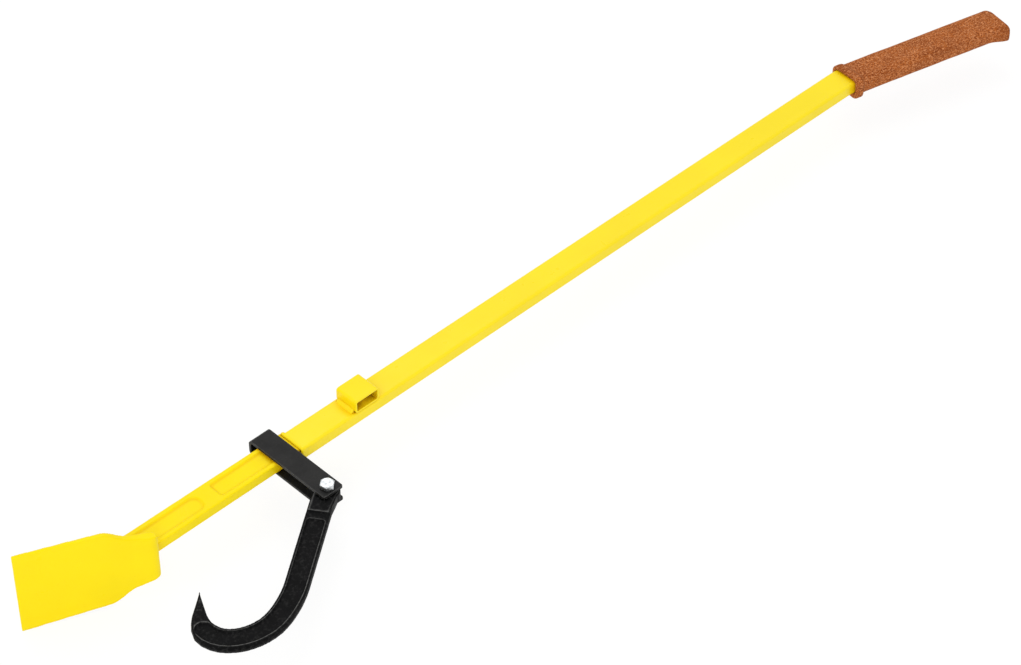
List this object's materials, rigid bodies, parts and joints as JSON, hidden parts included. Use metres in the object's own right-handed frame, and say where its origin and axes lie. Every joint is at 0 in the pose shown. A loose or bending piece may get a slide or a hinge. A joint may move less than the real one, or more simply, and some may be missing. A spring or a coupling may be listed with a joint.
{
  "type": "felling lever",
  "caption": "Long felling lever with a wedge blade, a bent grip with a leather sleeve, and a turning hook on a sliding link, for breaking over and rolling logs.",
  "frame": {"origin": "centre of the object's box in X and Y, at its lowest point in Z, where the blade's lower edge lies", "axes": "+X along the lever from the blade to the grip, +Z along the axis of the hook's bolt with the bolt's head up, +Y away from the hook"},
  "size_m": [1.294, 0.2032, 0.099],
  "materials": {
    "yellow_paint": "gloss enamel on steel",
    "black_paint": "satin black on forged steel",
    "zinc_plate": "bright zinc plate",
    "blue_nylon": "moulded nylon",
    "orange_leather": "rough split leather",
    "black_plastic": "moulded polyethylene"
  },
  "bodies": {
    "lever": {"blade_forging": "yellow_paint", "butt_weld": "yellow_paint", "lever_tube": "yellow_paint", "stop_socket": "yellow_paint", "socket_weld_blade_side": "yellow_paint", "socket_weld_grip_side": "yellow_paint", "leather_sleeve": "orange_leather", "tube_end_plug": "black_plastic"},
    "link": {"link_strap": "black_paint", "pivot_bolt": "zinc_plate", "pivot_nut": "zinc_plate", "nut_lock_ring": "blue_nylon"},
    "hook": {"hook_forging": "black_paint"}
  },
  "joints": [
    {"name": "link_slide", "type": "slide", "parent": "lever", "child": "link", "axis": [1, 0, 0], "range_m": [-0.14, 0.004]},
    {"name": "hook_swing", "type": "hinge", "parent": "link", "child": "hook", "pos_m": [-0.36051, -0.0023, 0.0495], "axis": [0, 0, 1], "range_deg": [-20, 155]}
  ]
}
